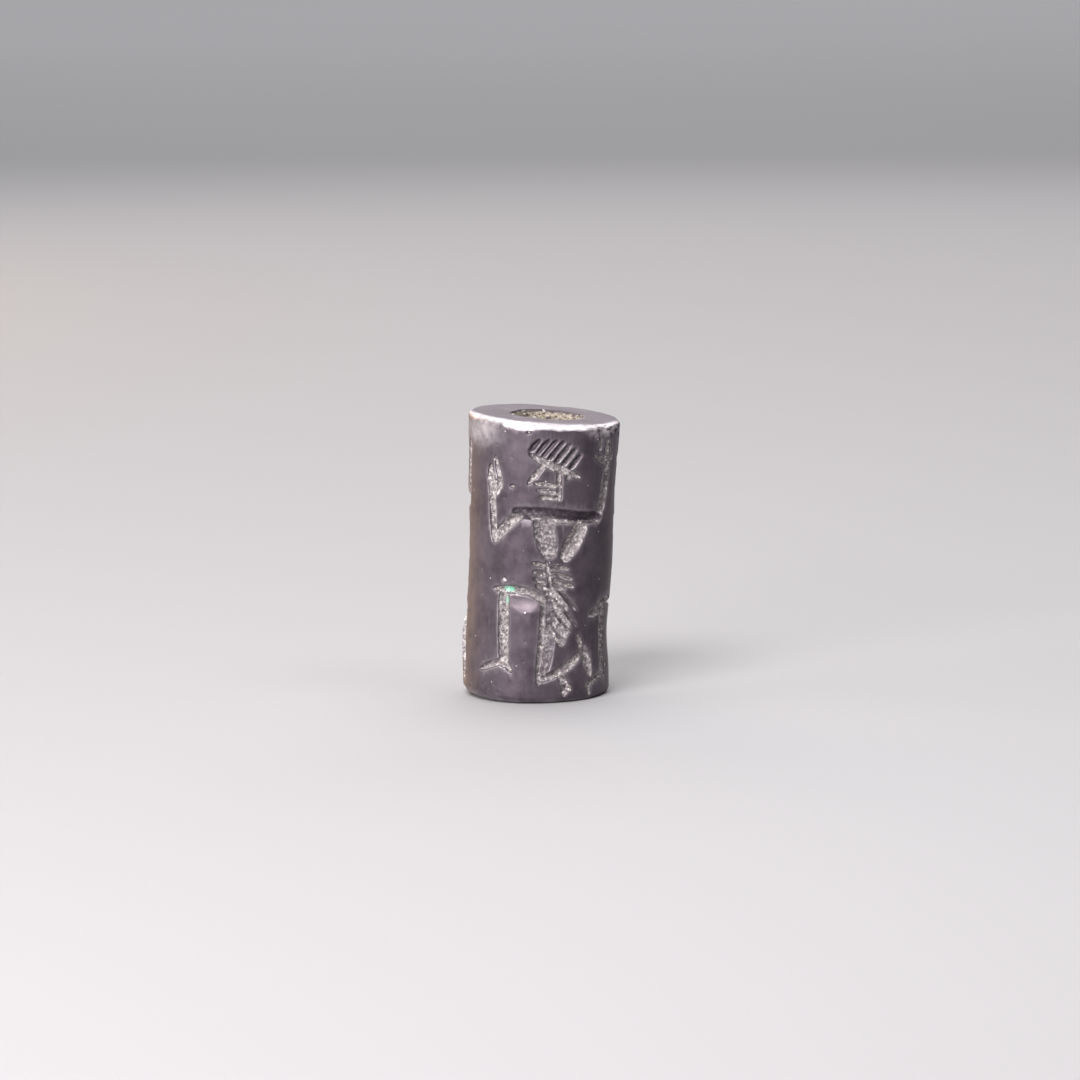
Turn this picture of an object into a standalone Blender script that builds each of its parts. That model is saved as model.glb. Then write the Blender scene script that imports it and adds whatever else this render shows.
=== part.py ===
"""Cylinder seal: a drilled stone cylinder with an engraved scene, standing on its flat end.

Lengths are in millimetres until a mesh is made, and the meshes are in metres.
A place on the wall is given as (s, z): s runs around the wall to the right of the
front line, and z runs up the axis of the cylinder.
"""
import math

import bmesh
import bpy
from mathutils import Vector

MM = 0.001

# Body
LENGTH = 27.2
FOOT_RADIUS = 7.1
TOP_RADIUS = 7.36
WAIST = 0.18
AXIS_LEAN = math.radians(2.5)
AXIS_FOOT_X = -0.71
TOP_FALL_RIGHT = math.radians(2.0)
TOP_FALL_BACK = math.radians(0.5)
COLUMNS = 48
WALL_ROWS = 8

# Worn edges
FOOT_ROUND = 0.55
FOOT_ROUND_LEFT = 1.4
TOP_ROUND = 0.42
FRONT_WORN_IN = 1.0
FRONT_WORN_DOWN = 0.6
EDGE_STEPS = 3

# Uneven wall: angle, spread in angle, height, spread in height, and how far it swells
SWELLS = [
    (math.radians(-90), math.radians(30), 5.3, 2.4, 0.28),
    (math.radians(88), math.radians(30), 6.4, 3.4, -0.32),
    (math.radians(95), math.radians(30), 20.5, 3.0, -0.12),
]

# Bore, drilled from both ends
BORE_RADIUS = 3.1
MOUTH_RADIUS = 3.5
BORE_SHIFT_X = 0.3
BORE_SHIFT_Y = 0.2
BORE_ROWS = 6

# Engraving
ARC_RADIUS = 7.2
POINTED = 0.15
BLUNT = 0.8
RUN_OUT = 0.3
END_SHARE = 0.16
LEAST_LIFT = 0.08
# Sections of the cutters: across as a share of half the width, and level in depths
WHEEL_SECTION = [(-1.15, 0.6), (-0.7, -0.85), (0.0, -1.0), (0.7, -0.85), (1.15, 0.6)]
FINE_SECTION = [(-1.5, 0.6), (0.0, -1.0), (1.5, 0.6)]
PIT_LEVELS = [(1.25, 0.6), (0.75, -0.55), (0.25, -1.0)]
PIT_SIDES = 8


def wall_radius(angle, z):
    """Radius of the smooth wall, without its engraving."""
    t = min(max(z / LENGTH, 0.0), 1.0)
    straight = FOOT_RADIUS + (TOP_RADIUS - FOOT_RADIUS) * t
    radius = straight - WAIST * math.sin(math.pi * t)
    for middle, spread, height, rise, swell in SWELLS:
        turn = math.remainder(angle - middle, math.tau) / spread
        radius += swell * math.exp(-turn ** 2 - ((z - height) / rise) ** 2)
    return radius


def around(angle, radius, z):
    """A point at an angle from the front line, which faces -Y."""
    return Vector((radius * math.sin(angle), -radius * math.cos(angle), z))


def on_wall(s, z, lift):
    """A point at (s, z) on the wall, lifted out of the stone or sunk into it."""
    angle = s / ARC_RADIUS
    return around(angle, wall_radius(angle, z) + lift, z)


def cutter_level(level, depth, reach):
    """Depth below the wall, or a height over it that clears the wall's own curve."""
    if level > 0:
        return max(level * depth, LEAST_LIFT + reach * reach / ARC_RADIUS)
    return level * depth


def foot_plane(x):
    """Height of the standing face in the seal's own frame."""
    return x * math.tan(AXIS_LEAN)


def top_plane(x, y):
    """Height of the top face, which falls to the right and a little to the back."""
    return LENGTH - x * math.tan(TOP_FALL_RIGHT) - y * math.tan(TOP_FALL_BACK)


def foot_round(angle):
    """The foot's edge is worn most on the left."""
    leftness = max(0.0, -math.sin(angle))
    return FOOT_ROUND + (FOOT_ROUND_LEFT - FOOT_ROUND) * leftness ** 2


def top_worn(angle):
    """How far the top's edge is worn in and down. It is worn most at the front."""
    frontness = max(0.0, math.cos(angle))
    worn_in = TOP_ROUND + (FRONT_WORN_IN - TOP_ROUND) * frontness
    worn_down = TOP_ROUND + (FRONT_WORN_DOWN - TOP_ROUND) * frontness
    return worn_in, worn_down


def body_column(angle):
    """One column of points: up the wall, over the top and down the bore."""
    points = []
    foot_worn = foot_round(angle)
    foot_edge = foot_plane(around(angle, FOOT_RADIUS, 0).x)
    top_edge = top_plane(*around(angle, TOP_RADIUS, 0).xy)
    for step in range(EDGE_STEPS + 1):
        turn = math.pi / 2 * step / EDGE_STEPS
        radius = wall_radius(angle, foot_edge + foot_worn) - foot_worn * (1 - math.sin(turn))
        lift = foot_worn * (1 - math.cos(turn))
        foot = foot_plane(around(angle, radius, 0).x)
        points.append(around(angle, radius, foot + lift))
    low = foot_edge + foot_worn
    worn_in, worn_down = top_worn(angle)
    high = top_edge - worn_down
    for row in range(1, WALL_ROWS):
        z = low + (high - low) * row / WALL_ROWS
        points.append(around(angle, wall_radius(angle, z), z))
    for step in range(EDGE_STEPS + 1):
        turn = math.pi / 2 * step / EDGE_STEPS
        radius = wall_radius(angle, high) - worn_in * (1 - math.cos(turn))
        fall = worn_down * (1 - math.sin(turn))
        top = top_plane(*around(angle, radius, 0).xy)
        points.append(around(angle, radius, top - fall))
    shift = Vector((BORE_SHIFT_X, BORE_SHIFT_Y, 0))
    for row in range(BORE_ROWS + 1):
        t = 1 - row / BORE_ROWS
        radius = BORE_RADIUS + (MOUTH_RADIUS - BORE_RADIUS) * (2 * t - 1) ** 4
        point = around(angle, radius, 0) + shift
        low_end = foot_plane(point.x)
        point.z = low_end + (top_plane(*point.xy) - low_end) * t
        points.append(point)
    return points


def mesh_object(name, points, faces, collection):
    """A triangulated closed mesh with its faces turned outwards, in metres."""
    mesh = bpy.data.meshes.new(name)
    mesh.from_pydata([point * MM for point in points], [], faces)
    bm = bmesh.new()
    bm.from_mesh(mesh)
    bmesh.ops.triangulate(bm, faces=bm.faces[:])
    bmesh.ops.recalc_face_normals(bm, faces=bm.faces[:])
    bm.to_mesh(mesh)
    bm.free()
    result = bpy.data.objects.new(name, mesh)
    collection.objects.link(result)
    result.parent = axis
    return result


def ring_faces(ring_count, ring_size, closed):
    """Quads between rings, with caps on the two end rings of an open row of rings."""
    faces = []
    for ring in range(ring_count if closed else ring_count - 1):
        following = (ring + 1) % ring_count
        for i in range(ring_size):
            j = (i + 1) % ring_size
            faces.append((ring * ring_size + i, ring * ring_size + j,
                          following * ring_size + j, following * ring_size + i))
    if not closed:
        faces.append(tuple(range(ring_size)))
        faces.append(tuple((ring_count - 1) * ring_size + i for i in range(ring_size)))
    return faces


def seal_body():
    """The plain drilled cylinder, as a closed ring of columns."""
    points = []
    for column in range(COLUMNS):
        points += body_column(math.tau * column / COLUMNS)
    column_size = len(points) // COLUMNS
    faces = ring_faces(COLUMNS, column_size, closed=True)
    return mesh_object("seal", points, faces, bpy.context.scene.collection)


def curve_point(path, t):
    """The point at a share of the way along a smooth curve through the path's points."""
    knots = [Vector(point) for point in path]
    knots = [2 * knots[0] - knots[1]] + knots + [2 * knots[-1] - knots[-2]]
    spans = len(knots) - 3
    span = min(int(spans * t), spans - 1)
    u = spans * t - span
    a, b, c, d = knots[span:span + 4]
    return 0.5 * (2 * b + (c - a) * u + (2 * a - 5 * b + 4 * c - d) * u ** 2
                  + (3 * b - a - 3 * c + d) * u ** 3)


def end_swell(t, start, end):
    """Share of a groove's full size at a place along it, from its two end shares."""
    rise = start + (1 - start) * math.sqrt(min(t / RUN_OUT, 1.0))
    fall = end + (1 - end) * math.sqrt(min((1 - t) / RUN_OUT, 1.0))
    return min(rise, fall)


def wheel_cut(name, path, width, depth, start=POINTED, end=POINTED, fine=False):
    """A groove as a small wheel leaves it, with ends that are pointed, blunt or between."""
    inner_steps = max(1, 2 * len(path) - 4)
    inner_share = (1 - 2 * END_SHARE) / inner_steps
    stations = [0.0] + [END_SHARE + inner_share * i for i in range(inner_steps + 1)] + [1.0]
    centres = [curve_point(path, t) for t in stations]
    section = FINE_SECTION if fine else WHEEL_SECTION
    points = []
    for i, centre in enumerate(centres):
        swell = end_swell(stations[i], start, end)
        ahead = centres[min(i + 1, len(centres) - 1)] - centres[max(i - 1, 0)]
        ahead.normalize()
        for across, level in section:
            offset = across * swell * width / 2
            lift = cutter_level(level, swell * depth, offset)
            points.append(on_wall(centre.x + ahead.y * offset, centre.y - ahead.x * offset, lift))
    faces = ring_faces(len(centres), len(section), closed=False)
    add_cutter(name, points, faces)


def drill_pit(name, place, radius, depth, stretch=1.0):
    """A round pit, or an oval one that is stretched up and down."""
    points = []
    for reach, level in PIT_LEVELS:
        for side in range(PIT_SIDES):
            turn = math.tau * (side + 0.5) / PIT_SIDES
            s = place[0] + radius * reach * math.cos(turn)
            z = place[1] + radius * reach * stretch * math.sin(turn)
            points.append(on_wall(s, z, cutter_level(level, depth, radius)))
    faces = ring_faces(len(PIT_LEVELS), PIT_SIDES, closed=False)
    add_cutter(name, points, faces)


def add_cutter(name, points, faces):
    """A cutting shape, which is kept out of the part itself."""
    cutter = mesh_object("cut_" + name, points, faces, cutters)
    cutter.hide_render = True
    cutter.display_type = "WIRE"


def moved(path, by):
    """The same path at another place on the wall."""
    return [(s + by[0], z + by[1]) for s, z in path]


def cut_rows(name, first, last, run, count, width, depth, at):
    """A row of alike grooves, whose starts go from the first place to the last."""
    for i in range(count):
        start = Vector(first).lerp(Vector(last), i / (count - 1))
        path = moved([start, start + Vector(run)], at)
        wheel_cut(f"{name}_{i + 1}", path, width, depth, 0.4, 0.4, fine=True)


def cut_head(name, at, hatches=7, detail=True):
    """Hatched cap, brow, nose, jaw and neck, seen in profile and facing left."""
    cap_left = -0.3
    cap_right = 3.75
    cap_top = 25.65
    cap_middle = 1.0
    cap_fall = 0.18
    brow_left = (-1.35, 24.3)
    brow_right = (3.75, 22.0)
    brow_slope = (brow_right[1] - brow_left[1]) / (brow_right[0] - brow_left[0])
    lean = Vector((-0.61, -0.79))
    for i in range(hatches):
        s = cap_left + (cap_right - cap_left) * i / (hatches - 1)
        z = cap_top - cap_fall * max(0.0, s - cap_middle) ** 2
        gap = z - brow_left[1] - brow_slope * (s - brow_left[0])
        length = gap / (brow_slope * lean.x - lean.y) - 0.35
        start = Vector((s, z))
        path = moved([start, start + lean * length], at)
        wheel_cut(f"{name}_cap_{i + 1}", path, 0.58, 0.3, 0.4, 0.4, fine=True)
    brow = [brow_left, (0.15, 23.5), (1.7, 22.85), brow_right]
    wheel_cut(name + "_brow", moved(brow, at), 0.68, 0.36, 0.4, 0.4)
    wheel_cut(name + "_nose", moved([(0.0, 23.4), (-1.45, 21.35)], at), 0.6, 0.34, BLUNT)
    wheel_cut(name + "_cheek", moved([(1.8, 22.7), (1.85, 19.75)], at), 0.56, 0.32, BLUNT, BLUNT)
    wheel_cut(name + "_lip", moved([(-0.7, 21.4), (1.7, 20.85)], at), 0.5, 0.26)
    wheel_cut(name + "_chin", moved([(-0.45, 20.45), (1.9, 19.9)], at), 0.54, 0.3)
    if detail:
        wheel_cut(name + "_mouth", moved([(-0.6, 20.92), (1.7, 20.38)], at), 0.36, 0.18)
        drill_pit(name + "_ear", (at[0] + 2.6, at[1] + 21.95), 0.32, 0.26)


def cut_raised_arm(name, elbow, wrist, forearm_width, at):
    """A forearm that is bent straight up from its elbow."""
    wheel_cut(name, moved([elbow, wrist], at), forearm_width, 0.45, 0.5, BLUNT)


def cut_arms():
    """Shoulders and both raised arms of the front figure, with their hands."""
    left_elbow = (-4.95, 15.4)
    cut_raised_arm("left_forearm", left_elbow, (-5.2, 20.6), 1.1, (0, 0))
    wheel_cut("left_hand", [(-5.2, 20.1), (-5.05, 21.6), (-4.95, 23.9)], 1.95, 0.42, 0.45)
    wheel_cut("left_upper_arm", [left_elbow, (-3.5, 16.95), (-2.1, 18.6)], 1.1, 0.5, 0.5, BLUNT)
    drill_pit("left_field_pit", (-3.0, 21.05), 0.3, 0.16, stretch=0.7)
    shoulders = [(-2.6, 18.45), (-0.4, 18.7), (2.4, 18.25), (6.7, 17.65)]
    wheel_cut("shoulders", shoulders, 1.3, 0.6, BLUNT, BLUNT)
    wheel_cut("right_forearm", [(6.6, 17.6), (6.95, 19.9), (7.35, 23.3)], 1.3, 0.48, BLUNT, 0.6)
    finger_pitch = 0.88
    for i in range(3):
        s = 6.1 + finger_pitch * i
        path = [(s, 25.95 - 0.25 * i), (s + 0.15, 23.9)]
        wheel_cut(f"right_finger_{i + 1}", path, 0.62, 0.32, 0.3, BLUNT, fine=True)
    wheel_cut("right_palm", [(5.9, 23.85), (8.6, 23.55)], 0.8, 0.36, BLUNT, BLUNT)


def cut_torso(name, at, ribs):
    """Two lobes of the chest, left standing apart, and the ribs below them."""
    left_lobe = [(0.05, 18.6), (0.42, 16.2), (0.92, 13.8)]
    right_lobe = [(4.75, 17.8), (3.5, 15.8), (2.45, 13.75)]
    wheel_cut(name + "_left_chest", moved(left_lobe, at), 2.35, 0.6, 0.75, 0.4)
    wheel_cut(name + "_right_chest", moved(right_lobe, at), 1.5, 0.52, 0.4, 0.5)
    left_run = (1.25, -0.38)
    cut_rows(name + "_left_rib", (-0.72, 13.66), (-0.35, 11.5), left_run, ribs, 0.5, 0.24, at)
    right_run = (2.15, -0.55)
    cut_rows(name + "_right_rib", (0.95, 13.3), (1.6, 11.9), right_run, ribs - 1, 0.55, 0.26, at)
    wheel_cut(name + "_spine", moved([(0.2, 13.9), (1.2, 10.9)], at), 0.55, 0.28, fine=True)


def cut_kilt(name, at, folds):
    """The kilt's shallow ground and the slanting folds that are cut deeper into it."""
    ground = [(1.0, 10.9), (1.95, 8.6), (2.35, 5.9)]
    wheel_cut(name + "_kilt_ground", moved(ground, at), 2.6, 0.2, 0.6, 0.5)
    cut_rows(name + "_kilt_fold", (2.05, 10.75), (0.75, 8.3), (2.3, -2.2), folds, 0.6, 0.36, at)


def cut_kneeling_legs(name, at):
    """The front leg is bent at the knee with its foot flat, and the back leg kneels."""
    front_knee = (-4.75, 10.95)
    thigh = [front_knee, (-2.4, 10.98), (-0.9, 10.72), (0.3, 10.2)]
    wheel_cut(name + "_front_thigh", moved(thigh, at), 0.78, 0.55, 0.35, BLUNT)
    wheel_cut(name + "_front_shin", moved([(-3.7, 10.7), (-3.45, 3.8)], at), 1.3, 0.46, BLUNT,
              BLUNT)
    wheel_cut(name + "_front_foot", moved([(-3.1, 4.1), (-6.3, 2.85)], at), 0.74, 0.36, 0.5, 0.3)
    wheel_cut(name + "_front_heel", moved([(-3.5, 4.2), (-2.6, 2.95)], at), 0.7, 0.34, 0.6, 0.4)
    kneeling_thigh = [(0.75, 10.2), (0.85, 6.3), (0.35, 2.1)]
    wheel_cut(name + "_kneeling_thigh", moved(kneeling_thigh, at), 1.6, 0.45, BLUNT, 0.35)
    back_shin = [(0.3, 2.3), (2.3, 3.05), (3.65, 4.05), (5.0, 5.2)]
    wheel_cut(name + "_back_shin", moved(back_shin, at), 0.85, 0.42, 0.5, 0.5)
    wheel_cut(name + "_back_foot", moved([(4.15, 6.7), (6.15, 2.35)], at), 0.95, 0.36, 0.3, 0.3)


def cut_front_figure():
    """The kneeling figure that the front of the seal shows whole."""
    here = (0, 0)
    cut_head("front", here)
    cut_arms()
    cut_torso("front", here, ribs=4)
    cut_kilt("front", here, folds=4)
    cut_kneeling_legs("front", here)
    wheel_cut("front_scoop", [(-2.9, 10.0), (0.1, 9.15)], 1.7, 0.2)
    drill_pit("front_knee_pit", (-3.65, 11.9), 0.3, 0.2)
    wheel_cut("ground_blob", [(2.35, 2.7), (2.95, 1.6), (3.55, 0.55)], 1.15, 0.34)
    wheel_cut("ground_mark", [(5.6, 1.95), (6.05, 0.65)], 0.45, 0.22, fine=True)


def cut_second_figure():
    """A plainer kneeling figure to the right, whose bent knee just shows from the front."""
    here = (11.5, -1.35)
    cut_head("second", (here[0] + 0.9, here[1]), hatches=5, detail=False)
    elbow = (-0.6, 17.2)
    cut_raised_arm("second_left_forearm", elbow, (-0.9, 21.2), 0.9, here)
    wheel_cut("second_left_hand", moved([(-0.9, 21.0), (-1.15, 26.4)], here), 0.8, 0.36)
    shoulders = [(-0.8, 17.6), (1.0, 18.6), (2.6, 18.3), (6.7, 17.65)]
    wheel_cut("second_shoulders", moved(shoulders, here), 1.2, 0.55, BLUNT, BLUNT)
    cut_raised_arm("second_right_forearm", (6.6, 17.5), (7.2, 22.9), 1.1, here)
    wheel_cut("second_right_hand", moved([(7.2, 22.6), (7.4, 25.6)], here), 1.5, 0.36, 0.5)
    cut_torso("second", here, ribs=3)
    cut_kilt("second", here, folds=3)
    cut_kneeling_legs("second", here)
    wheel_cut("second_knee", [(5.45, 8.75), (6.5, 9.05), (7.7, 8.9)], 0.95, 0.42, POINTED, BLUNT)
    drill_pit("second_heel_pit", (9.35, 3.3), 0.34, 0.24)


def cut_robed_figure(name, s, facing, hand_s):
    """A plain standing figure in a long robe, with one hand raised."""
    head_z = 23.3
    shoulder_z = 19.6
    hem_z = 2.6
    wheel_cut(name + "_head", [(s, head_z + 1.3), (s, head_z - 1.3)], 1.9, 0.45)
    cap = [(s - 0.9 * facing, head_z + 1.6), (s + 1.1 * facing, head_z + 0.9)]
    wheel_cut(name + "_cap", cap, 0.6, 0.32)
    shoulders = [(s - 2.1 * facing, shoulder_z - 0.9), (s, shoulder_z),
                 (hand_s - 0.4 * facing, shoulder_z - 0.9)]
    wheel_cut(name + "_shoulders", shoulders, 1.15, 0.5, BLUNT, BLUNT)
    cut_raised_arm(name + "_forearm", (hand_s, shoulder_z - 1.3), (hand_s, 22.0), 0.9, (0, 0))
    wheel_cut(name + "_hand", [(hand_s, 21.8), (hand_s + 0.1 * facing, 24.9)], 1.2, 0.4, 0.5)
    robe = [(s, shoulder_z - 0.4), (s, 13.0), (s - 0.3 * facing, 7.0)]
    wheel_cut(name + "_robe", robe, 4.3, 0.5, 0.6, BLUNT)
    hem = [(s, 8.0), (s, hem_z)]
    wheel_cut(name + "_hem", hem, 1.3, 0.4, BLUNT, BLUNT)
    for side in (-1, 1):
        word = "left" if side < 0 else "right"
        fold = [(s + 1.75 * side, 8.6), (s + 1.9 * side, hem_z)]
        wheel_cut(f"{name}_fold_{word}", fold, 1.5, 0.42, 0.5, BLUNT)
        foot_s = s + 1.1 * side + 0.3 * facing
        foot = [(foot_s - 0.5 * facing, 1.75), (foot_s + 0.9 * facing, 1.45)]
        wheel_cut(f"{name}_foot_{word}", foot, 0.7, 0.3, 0.5, 0.3)


def cut_standard(s):
    """A standard on the back, with a crescent and a star over it."""
    wheel_cut("standard_post", [(s, 15.6), (s, 3.6)], 0.75, 0.4, BLUNT, BLUNT)
    for side in (-1, 1):
        leg = [(s, 4.4), (s + 1.5 * side, 2.0)]
        wheel_cut(f"standard_leg_{'left' if side < 0 else 'right'}", leg, 0.6, 0.3, BLUNT)
    crescent = [(s - 2.0, 18.4), (s - 1.3, 16.8), (s, 16.1), (s + 1.3, 16.8), (s + 2.0, 18.4)]
    wheel_cut("crescent", crescent, 0.9, 0.42)
    star_z = 22.2
    star_reach = 1.7
    star_lines = 4
    for i in range(star_lines):
        turn = math.pi * (i + 0.5) / star_lines
        reach = Vector((math.cos(turn), math.sin(turn))) * star_reach
        middle = Vector((s, star_z))
        wheel_cut(f"star_{i + 1}", [middle - reach, middle + reach], 0.5, 0.28, fine=True)


def cut_rim_wear():
    """Chips on the right of the top rim and a nick in its front."""
    drill_pit("rim_chip_1", (6.3, 26.3), 0.8, 0.24, stretch=0.5)
    drill_pit("rim_chip_2", (8.2, 26.15), 0.9, 0.28, stretch=0.5)
    drill_pit("rim_nick", (-1.6, 26.3), 0.35, 0.12, stretch=0.7)


def stone_material():
    """Dark haematite with a worn, faintly metallic gloss."""
    material = bpy.data.materials.new("haematite")
    material.use_nodes = True
    shader = material.node_tree.nodes["Principled BSDF"]
    shader.inputs["Base Color"].default_value = (0.105, 0.075, 0.09, 1.0)
    shader.inputs["Roughness"].default_value = 0.42
    shader.inputs["Metallic"].default_value = 0.2
    return material


def engrave(body):
    """Cut every groove and pit out of the body."""
    cut = body.modifiers.new("engraving", "BOOLEAN")
    cut.operation = "DIFFERENCE"
    cut.operand_type = "COLLECTION"
    cut.collection = cutters
    cut.solver = "EXACT"


for leftover in list(bpy.data.objects):
    bpy.data.objects.remove(leftover)

cutters = bpy.data.collections.new("engraving_cutters")
bpy.context.scene.collection.children.link(cutters)

axis = bpy.data.objects.new("leaning_axis", None)
axis.location.x = AXIS_FOOT_X * MM
axis.rotation_euler.y = AXIS_LEAN
bpy.context.scene.collection.objects.link(axis)

seal = seal_body()
seal.data.materials.append(stone_material())
cut_front_figure()
cut_second_figure()
cut_robed_figure("robed", -11.8, 1, -9.8)
cut_standard(-19.9)
cut_rim_wear()
engrave(seal)
seal.data.shade_smooth()
seal.data.set_sharp_from_angle(angle=math.radians(30))
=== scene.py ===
"""A cylinder seal of dark haematite that stands on its foot, engraved all the way round.

A mesh is worked in millimetres and brought to metres when it is finished. A place on the
wall is given as (s, z): s runs round to the right of the front line, z up the seal's axis.
"""
import itertools
import math

import bpy
import numpy as np
from mathutils import Matrix, Vector


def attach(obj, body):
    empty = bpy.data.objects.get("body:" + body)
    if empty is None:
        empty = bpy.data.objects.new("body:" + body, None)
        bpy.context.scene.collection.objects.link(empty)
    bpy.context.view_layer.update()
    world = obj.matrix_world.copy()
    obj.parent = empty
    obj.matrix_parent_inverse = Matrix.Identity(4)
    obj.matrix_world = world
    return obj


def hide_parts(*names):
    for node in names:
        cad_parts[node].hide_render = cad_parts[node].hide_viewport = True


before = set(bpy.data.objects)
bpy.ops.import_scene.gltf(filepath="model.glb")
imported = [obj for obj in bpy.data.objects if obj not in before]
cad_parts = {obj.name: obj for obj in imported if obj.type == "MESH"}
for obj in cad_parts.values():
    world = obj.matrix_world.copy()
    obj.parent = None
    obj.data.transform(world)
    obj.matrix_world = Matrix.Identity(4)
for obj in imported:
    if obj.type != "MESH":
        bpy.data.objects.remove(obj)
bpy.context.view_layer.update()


# The seal: one bar of haematite, ground to a cylinder with a slight waist. It was drilled
# from both ends, so its bore opens at the mouths, and its ends are cut a little askew.

MM = 0.001
LENGTH = 27.2
FOOT_RADIUS = 7.1
TOP_RADIUS = 7.36
WAIST = 0.18
BORE_RADIUS = 3.1
MOUTH_RADIUS = 3.5
BORE_SHIFT = (0.3, 0.2, 0.0)
AXIS_LEAN = math.radians(2.5)
AXIS_FOOT_X = -0.71
TOP_FALL_RIGHT = math.radians(2.0)
TOP_FALL_BACK = math.radians(0.5)
POINTS_AROUND = 600
WALL_ROWS = 360
END_ROWS = 44
BORE_ROWS = 60

haematite = bpy.data.materials.new("ground_haematite")


def add_node(tree, kind, inputs=None, **settings):
    """Adds a node with its settings, and fills its inputs with values or with links."""
    node = tree.nodes.new(kind)
    for name, value in settings.items():
        setattr(node, name, value)
    for place, value in (inputs or {}).items():
        if isinstance(place, int):
            socket = node.inputs[place]
        else:
            socket = next(s for s in node.inputs if s.name == place and s.enabled)
        if isinstance(value, bpy.types.Node):
            value = next(output for output in value.outputs if output.enabled)
        if isinstance(value, bpy.types.NodeSocket):
            tree.links.new(value, socket)
        else:
            socket.default_value = value
    return node


def new_tree(name, inputs):
    """An empty Geometry Nodes tree with named inputs, and the sockets that give them."""
    tree = bpy.data.node_groups.new(name, "GeometryNodeTree")
    for label, kind in inputs.items():
        tree.interface.new_socket(name=label, in_out="INPUT", socket_type="NodeSocket" + kind)
    tree.interface.new_socket(name="Result", in_out="OUTPUT",
                              socket_type="NodeSocketGeometry")
    return tree, tree.nodes.new("NodeGroupInput").outputs


def plain_mesh(maker, name):
    """The object's mesh as its modifiers leave it. The object itself is taken away."""
    graph = bpy.context.evaluated_depsgraph_get()
    seen = maker.evaluated_get(graph)
    mesh = bpy.data.meshes.new_from_object(seen, preserve_all_data_layers=True,
                                           depsgraph=graph)
    maker.modifiers.clear()
    bpy.data.objects.remove(maker)
    mesh.name = name
    return mesh


def grown_mesh(name, tree, sizes, start):
    """The plain mesh that a tree makes from its sizes, with the start mesh as its input."""
    maker = bpy.data.objects.new(name + "_maker", start)
    bpy.context.scene.collection.objects.link(maker)
    modifier = maker.modifiers.new("maker", "NODES")
    modifier.node_group = tree
    for item in tree.interface.items_tree:
        if item.in_out == "INPUT" and item.name in sizes:
            modifier[item.identifier] = sizes[item.name]
    return plain_mesh(maker, name)


tree, given = new_tree("drilled_cylinder", {
    "Length": "Float", "Foot radius": "Float", "Top radius": "Float", "Waist": "Float",
    "Bore radius": "Float", "Mouth radius": "Float", "Bore shift": "Vector",
    "Foot slope": "Float", "Top slope right": "Float", "Top slope back": "Float",
    "Points around": "Int", "Wall rows": "Int", "End rows": "Int", "Bore rows": "Int",
    "Material": "Material"})
# The square section is cut finest on the wall. Its corners lie at bore and wall, foot and top
square = add_node(tree, "GeometryNodeCurvePrimitiveQuadrilateral",
                  {"Width": 1.0, "Height": 1.0}, mode="RECTANGLE")
corner = add_node(tree, "GeometryNodeInputIndex")
rows = tree.nodes.new("GeometryNodeIndexSwitch")
rows.data_type = "INT"
rows.index_switch_items.new()
rows.index_switch_items.new()
tree.links.new(corner.outputs[0], rows.inputs["Index"])
for place, label in enumerate(["End rows", "Bore rows", "End rows", "Wall rows"]):
    tree.links.new(given[label], rows.inputs[str(place)])
section = add_node(tree, "GeometryNodeSubdivideCurve", {"Curve": square, "Cuts": rows})
corner_shift = add_node(tree, "ShaderNodeVectorMath",
                        {0: add_node(tree, "GeometryNodeInputPosition"), 1: (0.5, 0.5, 0.0)},
                        operation="ADD")
section = add_node(tree, "GeometryNodeStoreNamedAttribute",
                   {"Geometry": section, "Name": "share", "Value": corner_shift},
                   data_type="FLOAT_VECTOR", domain="POINT")
step = add_node(tree, "ShaderNodeMath", {0: math.tau, 1: given["Points around"]},
                operation="DIVIDE")
turning = add_node(tree, "ShaderNodeMath", {0: corner, 1: step}, operation="MULTIPLY")
circle = add_node(tree, "GeometryNodeCurvePrimitiveCircle",
                  {"Resolution": given["Points around"], "Radius": 1.0}, mode="RADIUS")
circle = add_node(tree, "GeometryNodeStoreNamedAttribute",
                  {"Geometry": circle, "Name": "turn", "Value": turning},
                  data_type="FLOAT", domain="POINT")
ring = add_node(tree, "GeometryNodeCurveToMesh", {"Curve": circle, "Profile Curve": section})
share = add_node(tree, "GeometryNodeInputNamedAttribute", {"Name": "share"},
                 data_type="FLOAT_VECTOR")
turn = add_node(tree, "GeometryNodeInputNamedAttribute", {"Name": "turn"}, data_type="FLOAT")
parts = add_node(tree, "ShaderNodeSeparateXYZ", {0: share}).outputs
outness = parts["X"]
upness = parts["Y"]
# Outer radius: straight from foot to top, less the waist
straight = add_node(tree, "ShaderNodeMix", {
    "Factor": upness, "A": given["Foot radius"], "B": given["Top radius"]})
arch = add_node(tree, "ShaderNodeMath", {0: upness, 1: math.pi}, operation="MULTIPLY")
arch = add_node(tree, "ShaderNodeMath", {0: arch}, operation="SINE")
arch = add_node(tree, "ShaderNodeMath", {0: arch, 1: given["Waist"]}, operation="MULTIPLY")
outer = add_node(tree, "ShaderNodeMath", {0: straight, 1: arch}, operation="SUBTRACT")
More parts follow.
